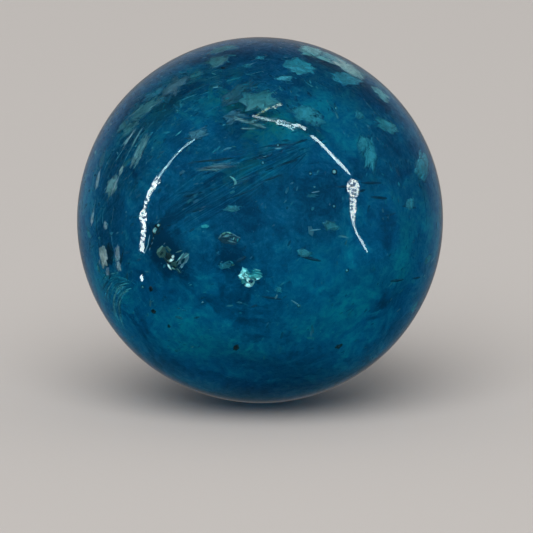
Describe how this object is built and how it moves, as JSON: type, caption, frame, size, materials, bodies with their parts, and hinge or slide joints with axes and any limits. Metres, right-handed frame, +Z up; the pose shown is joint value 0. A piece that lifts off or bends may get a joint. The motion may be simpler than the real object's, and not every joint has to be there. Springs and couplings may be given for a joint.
{
  "type": "glass marble",
  "caption": "Hand-made ball of cloudy teal-blue glass under clear blue glass, with pale mica flakes, clumps, grit and fine bubbles sealed inside, used as a playing or collector's marble.",
  "frame": {"origin": "centre of the ball", "axes": "+Z up through the side shown uppermost, -Y towards the side shown in front"},
  "size_m": [0.025, 0.025, 0.025],
  "materials": {
    "blue_glass": "polished, glossy, with faint waves from hand shaping",
    "cloudy_glass": "dense cloudy glass, mottled and streaked with teal and navy, that can't be seen through",
    "mica": "split mica, pearly",
    "mica_clump": "stacked mica plates, glittering",
    "grit": "matte grains"
  },
  "bodies": {
    "root": {"glass_ball": "blue_glass", "cloudy_glass": "cloudy_glass", "mica_flakes": "mica", "mica_clumps": "mica_clump", "dark_grit": "grit"}
  },
  "joints": []
}
